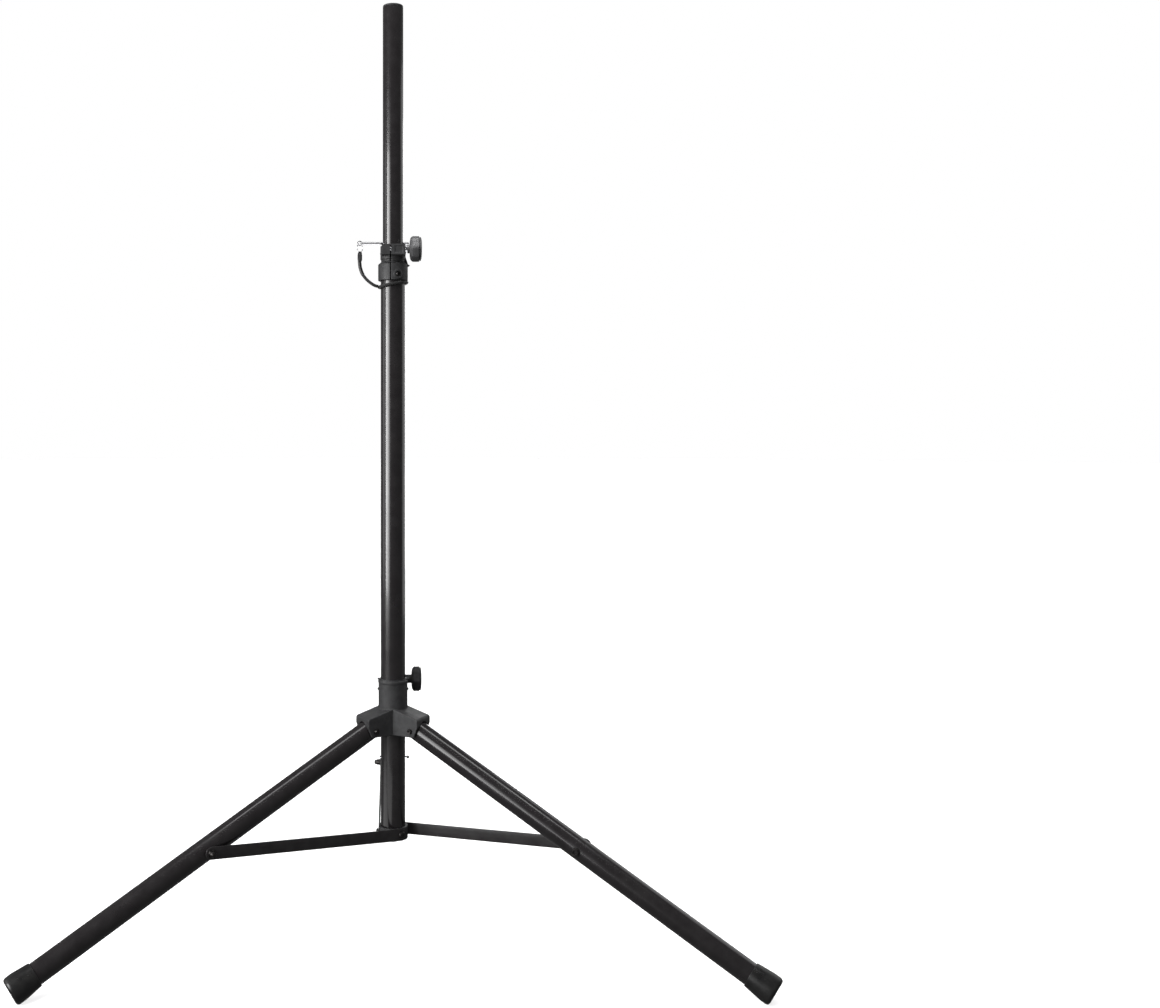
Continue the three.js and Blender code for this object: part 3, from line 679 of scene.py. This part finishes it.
def build_hub():
    """The three-armed slider with its clamp at the back, its lining and its clamp's nut."""
    sleeve = turned(soft([(0, HUB_FROM), (HUB_R, HUB_FROM), (HUB_R, HUB_TO), (0, HUB_TO)], 0.8))
    bead_from, bead_to, bead_r = HUB_TO - 5.2, HUB_TO - 0.6, HUB_R + 0.7
    bead = turned(soft([(23, bead_from), (bead_r, bead_from), (bead_r, bead_to), (23, bead_to)],
                       0.5, closed=True), closed=True)
    adds = [sleeve, bead]
    cuts = [rod(HUB_BORE, HUB_FROM - 5, HUB_TO + 10, segments=96),
            moved(rod(2.5, -30, 30, "X"), Matrix.Translation((0, 0, PIP_Z)))]
    for azimuth in ARMS.values():
        turn = Matrix.Rotation(azimuth, 4, "Z")
        adds.append(moved(slab(arm_outline(), -ARM_HALF, ARM_HALF), turn))
        cuts += [moved(tool, turn) for tool in leg_space()]
        hole = moved(rod(RIVET_R + GAP, -30, 30, "Y"), Matrix.Translation((PIVOT_R, 0, PIVOT_Z)))
        cuts.append(moved(hole, turn))
    bolt = Matrix.Translation((0, HUB_BOLT_Y, HUB_BOLT_Z))
    adds += [moved(rod(7.5, -14, 14, "X"), bolt),
             box(-14, 14, 15, HUB_BOLT_Y, HUB_BOLT_Z - 7.5, HUB_BOLT_Z + 7.4)]
    cuts += [box(-1.5, 1.5, 15, 45, 376, 420), moved(rod(CLAMP_BOLT_R + GAP, -20, 20, "X"), bolt)]
    body = carved(adds, cuts, voxel=0.75, passes=5)
    piece("hub_moulding", body, "hub", "moulding", ["leg_hub"], sharp=60)

    lining_top = HUB_TO + 1.7
    lining = pipe(HUB_BORE - GAP, TUBE_R + SLIDE_GAP, HUB_FROM, lining_top)
    pips = moved(rod(2.2, -26.8, 26.8, "X", edge=0.6), Matrix.Translation((0, 0, PIP_Z)))
    tabs = box(-26.6, 26.6, -3, 3, HUB_TO + GAP, lining_top)
    clear = rod(TUBE_R + SLIDE_GAP, HUB_FROM - 5, HUB_TO + 10, segments=96)
    piece("hub_bush_fine", carved([lining, pips, tabs], [clear]), "hub", "moulding", ["hub_bush"])
    nut = moved(hex_nut(6, -19.6, -14.3, NUT_BORE), bolt)
    piece("hub_nut_fine", nut, "hub", "black_steel", ["hub_clamp_nut"])


def build_foot_bracket():
    """The plug in the tube's foot, with a flat for each brace."""
    bottom, top = BRACE_ROOT_Z - 10.5, BRACE_ROOT_Z + 11.5
    hull = turned(soft([(0, bottom), (BRACKET_R, bottom), (BRACKET_R, top), (0, top)], 1.5))
    core = TUBE_BORE - GAP + 0.1  # just outside the spigot, so that no two walls coincide
    recess = turned([(core, TUBE_FROM - GAP), (TUBE_R + GAP, TUBE_FROM - GAP),
                     (TUBE_R + GAP, top + 5), (core, top + 5)], closed=True)
    spigot = rod(TUBE_BORE - GAP, TUBE_FROM - 1, TUBE_FROM + 26, edge=1, segments=96)
    cuts = [recess, rod(9, bottom - 1, bottom + 6, segments=64)]
    for azimuth in ARMS.values():
        turn = Matrix.Rotation(azimuth, 4, "Z")
        cuts.append(moved(box(-20, 20, BRACE_NEAR - GAP, 50, bottom - 5, top + 7), turn))
        hole = moved(rod(RIVET_R + GAP, 7.6, 40, "Y"), Matrix.Translation((BRACE_ROOT_R, 0, BRACE_ROOT_Z)))
        cuts.append(moved(hole, turn))
    piece("foot_bracket_fine", carved([hull, spigot], cuts, voxel=0.5, passes=3), "column", "moulding",
          ["foot_bracket"], sharp=60)


def foot_cap():
    """A rubber foot on X in the leg's frame, thicker towards its rounded end."""
    mouth, end = FOOT_END - FOOT_LENGTH, FOOT_END
    inside = LEG_R + 0.1
    body = [(0, end - FOOT_FLOOR), (inside, end - FOOT_FLOOR), (inside, mouth + 0.4), (LEG_R + 0.7, mouth),
            (FOOT_MOUTH_R, mouth), (FOOT_MOUTH_R + 0.2, mouth + 2.4), (FOOT_R, end - 15)]
    tread = [(7.5, end), (7, end - 0.8), (4, end - 0.8), (3.5, end), (0, end)]
    rim = soft([body[-1], (FOOT_R, end), tread[0]], 6.5, steps=8)
    return turned(soft(body, 0.5)[:-1] + rim + soft(tread, 0.4)[1:], "X")


def foot_on_floor(leg):
    """The foot in the row frame, pressed flat where it would go below the floor."""
    foot = moved(foot_cap(), leg)
    for vert in foot.verts:
        vert.co.z = max(vert.co.z, 0.0)
    return foot


def flat_bar(length):
    """A brace: a flat bar with round ends and holes, its corners eased."""
    outline = []
    for centre, start in ((length, -90), (0, 90)):
        for k in range(25):
            a = math.radians(start + 7.5 * k)
            outline.append((centre + BRACE_HALF * math.cos(a), BRACE_HALF * math.sin(a)))
    bar = slab(outline, BRACE_NEAR, BRACE_FAR)
    rim = [e for e in bar.edges if abs(e.verts[0].co.y - e.verts[1].co.y) < 0.01]
    bmesh.ops.bevel(bar, geom=rim, offset=0.45, segments=3, profile=0.5, affect="EDGES")
    holes = [moved(rod(RIVET_R + GAP, 20, 28, "Y"), Matrix.Translation((x, 0, 0))) for x in (0, length)]
    return carved([bar], holes)


def pivot_nut():
    """The flanged nut on a leg's pivot, on Y."""
    stations = [(0, 22.8), (4.9, 22.8), (4.4, 23.1, 6, 4.9), (4.4, 24.8, 6, 4.9), (3.6, 25.2), (3, 26.2),
                (1.5, 26.6), (0, 26.6)]
    return turned(stations, "Y", 48)


def brace_nut():
    """The stud and domed nut that hold a brace, on Y. A washer lies under the nut."""
    stations = [(0, 21.4), (2.8, 21.4), (RIVET_R, 21.6), (RIVET_R, 25), (6.9, 25), (7, 25.2), (7, 26.3),
                (6.8, 26.5), (5.6, 26.6), (5.1, 27.1, 6, 5.7), (5.1, 31.2, 6, 5.7), (4.9, 31.8),
                (4.4, 32.6), (4.3, 34.4), (3.8, 35.8), (2.6, 36.7), (1.2, 37), (0, 37)]
    return turned(stations, "Y", 48)


def bracket_rivet():
    """The rivet between a brace and the bracket, on Y."""
    stations = [(0, 8), (RIVET_R, 8), (RIVET_R, 25.1), (6.4, 25.1), (6.2, 26.8), (4.4, 28.6), (0, 29.2)]
    return turned(soft(stations, 0.8), "Y", 48)


def build_arm(side, azimuth):
    """A leg, its brace and their fasteners, on the side of the hub that the azimuth gives."""
    arm = COLUMN @ Matrix.Rotation(azimuth, 4, "Z")
    pivot = arm @ Matrix.Translation((PIVOT_R, 0, PIVOT_Z))
    root = arm @ Matrix.Translation((BRACE_ROOT_R, 0, BRACE_ROOT_Z))
    leg = arm @ at(PIVOT_R, 0, PIVOT_Z, LEG_ANGLE)
    brace = arm @ at(BRACE_ROOT_R, 0, BRACE_ROOT_Z, -BRACE_ANGLE)
    on_leg = leg @ Matrix.Translation((BRACE_ON_LEG, 0, 0))
    brace_end = brace @ Matrix.Translation((BRACE_LENGTH, 0, 0))
    leg_body, brace_body = f"leg_{side}", f"brace_{side}"

    head = moved(socket_head(RIVET_R, 4.6, 2.8, 45, "Y"), Matrix.Translation((0, -22.8, 0)))
    piece(f"pivot_bolt_{side}_fine", head, "hub", "black_steel", [f"pivot_bolt_{side}"], pivot)
    piece(f"pivot_nut_{side}_fine", pivot_nut(), "hub", "black_steel", [f"pivot_nut_{side}"], pivot)

    tube = pipe(LEG_R, LEG_BORE, -LEG_INNER, FOOT_END - 14, "X", marks=(0, BRACE_ON_LEG))
    holes = [moved(rod(RIVET_R + GAP, -30, 30, "Y"), Matrix.Translation((x, 0, 0)))
             for x in (0, BRACE_ON_LEG)]
    piece(f"leg_{side}_shell", carved([tube], holes), leg_body, "tube_paint", [f"leg_tube_{side}"], leg)
    piece(f"foot_{side}", foot_on_floor(leg), leg_body, "rubber", [f"foot_cap_{side}"], Matrix.Identity(4))
    bolt = moved(socket_head(RIVET_R, 7, 3.6, 38.9, "Y"), Matrix.Translation((0, -17.8, 0)))
    piece(f"brace_bolt_{side}_fine", bolt, leg_body, "black_steel", [f"brace_bolt_{side}"], on_leg)
    outline = soft([(3.1, 17.8), (6, 17.8), (6, 21.1), (3.1, 21.1)], 0.4, closed=True)
    spacer = turned(outline, "Y", 48, closed=True)
    piece(f"brace_spacer_{side}_fine", spacer, leg_body, "moulding", [f"brace_spacer_{side}"], on_leg)

    piece(f"brace_{side}_bar", flat_bar(BRACE_LENGTH), brace_body, "brace_paint", [f"brace_{side}"], brace)
    piece(f"brace_nut_{side}_fine", brace_nut(), brace_body, "black_steel", [f"brace_nut_{side}"],
          brace_end)
    piece(f"bracket_rivet_{side}_fine", bracket_rivet(), "column", "black_steel",
          [f"bracket_rivet_{side}"], root)


# --- stage, light and camera -------------------------------------------------------------


def panel_light(name, place, aim, width, height, left, right, only=None):
    """A panel that faces a point. Its radiance runs from left to right as that point sees it."""
    data = bpy.data.lights.new(name, "AREA")
    data.shape = "RECTANGLE"
    data.size, data.size_y, data.energy = width, height, math.pi * width * height
    data.use_nodes = True
    nodes, links = data.node_tree.nodes, data.node_tree.links
    spot, parts = nodes.new("ShaderNodeNewGeometry"), nodes.new("ShaderNodeSeparateXYZ")
    ramp = nodes.new("ShaderNodeMapRange")
    ramp.inputs["To Min"].default_value, ramp.inputs["To Max"].default_value = right, left
    links.new(spot.outputs["Parametric"], parts.inputs["Vector"])
    links.new(parts.outputs["X"], ramp.inputs["Value"])
    links.new(ramp.outputs["Result"], nodes["Emission"].inputs["Strength"])
    lamp = bpy.data.objects.new(name, data)
    lamp.location = place
    lamp.rotation_euler = (Vector(aim) - Vector(place)).to_track_quat("-Z", "Y").to_euler()
    lamp.visible_camera = False
    lamp.light_linking.receiver_collection = only
    scene.collection.objects.link(lamp)
    return lamp


def sky_light(name, strength, spread, tilt=0.0):
    """Soft light from straight above, or tipped a little to one side. It draws no highlight."""
    data = bpy.data.lights.new(name, "SUN")
    data.energy, data.angle = strength, spread
    lamp = bpy.data.objects.new(name, data)
    lamp.rotation_euler = (0, tilt, 0)
    lamp.visible_glossy = False
    scene.collection.objects.link(lamp)
    return lamp


def kept_to(name, pieces):
    """A collection of the objects that a light is kept to."""
    kept = bpy.data.collections.new(name)
    for made in pieces:
        kept.objects.link(made)
    return kept


def build_stage():
    """A white floor with a light of its own, left out of reflections and bounced light, in a white room."""
    paper = Finish("floor_paper", Roughness=0.9, Specular_IOR_Level=0.1)
    paper.colour(paper.noise(3), (0.84, 0.84, 0.84), (0.87, 0.87, 0.87))
    paper.bumps((paper.noise(200), 0.05, 0.0002))
    mesh = bpy.data.meshes.new("floor")
    floor_r, sides = 30, 64
    angles = [2 * math.pi * k / sides for k in range(sides)]
    corners = [(floor_r * math.cos(a), floor_r * math.sin(a), 0) for a in angles]
    mesh.from_pydata(corners, [], [range(sides)])
    mesh.materials.append(paper.made)
    floor = bpy.data.objects.new("floor", mesh)
    scene.collection.objects.link(floor)
    floor.visible_glossy = False
    floor.visible_diffuse = False

    only_floor = kept_to("only_floor", [floor])
    wash = sky_light("floor_wash", 2.8, math.radians(20))
    wash.light_linking.receiver_collection = only_floor
    wash.light_linking.blocker_collection = only_floor

    world = bpy.data.worlds.new("studio")
    world.use_nodes = True
    scene.world = world
    nodes, links = world.node_tree.nodes, world.node_tree.links
    backdrop, room = nodes["Background"], nodes.new("ShaderNodeBackground")
    backdrop.inputs["Color"].default_value = (1, 1, 1, 1)
    room.inputs["Color"].default_value = (1, 1, 1, 1)
    room.inputs["Strength"].default_value = 0.12
    seen, ray = nodes.new("ShaderNodeMixShader"), nodes.new("ShaderNodeLightPath")
    links.new(ray.outputs["Is Camera Ray"], seen.inputs["Fac"])
    links.new(room.outputs["Background"], seen.inputs[1])
    links.new(backdrop.outputs["Background"], seen.inputs[2])
    links.new(seen.outputs["Shader"], nodes["World Output"].inputs["Surface"])


def build_lights():
    """Soft panels round the stand and over it, and small ones that are kept to a few pieces."""
    middle = Vector((0, COLUMN_Y, 1.2))
    # each with its turn from the front, its distance, width and height, and its radiance on either side
    around = (
        ("key", -50, 3.0, 2.1, 1.85, 1.2, 15.0),
        ("left_side", -89, 3.0, 2.0, 1.85, 0.3, 1.2),
        ("right_edge", 122, 2.0, 1.8, 1.9, 0.7, 0.7),
        ("back", 170, 3.0, 1.2, 1.85, 3.0, 3.0),
    )
    for name, turn, away, width, height, left, right in around:
        angle = math.radians(turn)
        place = middle + away * Vector((math.sin(angle), -math.cos(angle), 0))
        panel_light(name, place, middle, width, height, left, right)
    panel_light("overhead", (0, COLUMN_Y - 0.3, 3.0), (0, COLUMN_Y - 0.25, 0), 2.4, 0.5, 3.5, 3.5)
    front = panel_light("front_top", (-0.1, COLUMN_Y - 1.4, 2.9), (0, COLUMN_Y, 1.15), 1.0, 0.8, 15, 15)
    front.visible_glossy = False
    sky_light("ceiling", 1.0, math.radians(60), math.radians(-5))

    plated = kept_to("plated", [made for made in scene.objects if made.get("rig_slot") == "chrome"])
    panel_light("card_below", (0, COLUMN_Y, 0.02), (0, COLUMN_Y, 1), 2.2, 2.2, 1.8, 1.8, plated)
    knob_only = kept_to("knob_only", [scene.objects["upper_knob_fine"]])
    panel_light("knob_top", (-0.1, COLUMN_Y - 0.6, 2.75), (0, COLUMN_Y, 1.1), 0.8, 0.5, 26, 26, knob_only)
    lower_names = ("main_tube_shell", "foot_bracket_fine")
    lower = kept_to("lower_column", [scene.objects[name] for name in lower_names])
    card = (-0.54, COLUMN_Y - 0.36)
    panel_light("card_left", (*card, 0.01), (*card, 1), 0.9, 0.9, 0.85, 0.85, lower)


def build_camera():
    """Level camera in front of the column, its frame shifted to leave room on the right."""
    data = bpy.data.cameras.new("camera")
    data.sensor_width = 36
    data.lens = 38.81
    data.shift_x, data.shift_y = 0.1612, -0.0676
    camera = bpy.data.objects.new("camera", data)
    camera.location = (0, COLUMN_Y - 2.149, 0.846)
    camera.rotation_euler = (math.radians(90), 0, 0)
    scene.collection.objects.link(camera)
    scene.camera = camera


build_camera()
build_stage()
build_tether()
build_main_tube()
build_mast()
build_collar()
build_knobs()
build_pin()
build_hub()
build_foot_bracket()
for arm_side, arm_azimuth in ARMS.items():
    build_arm(arm_side, arm_azimuth)
build_lights()

scene.view_settings.view_transform = "Standard"
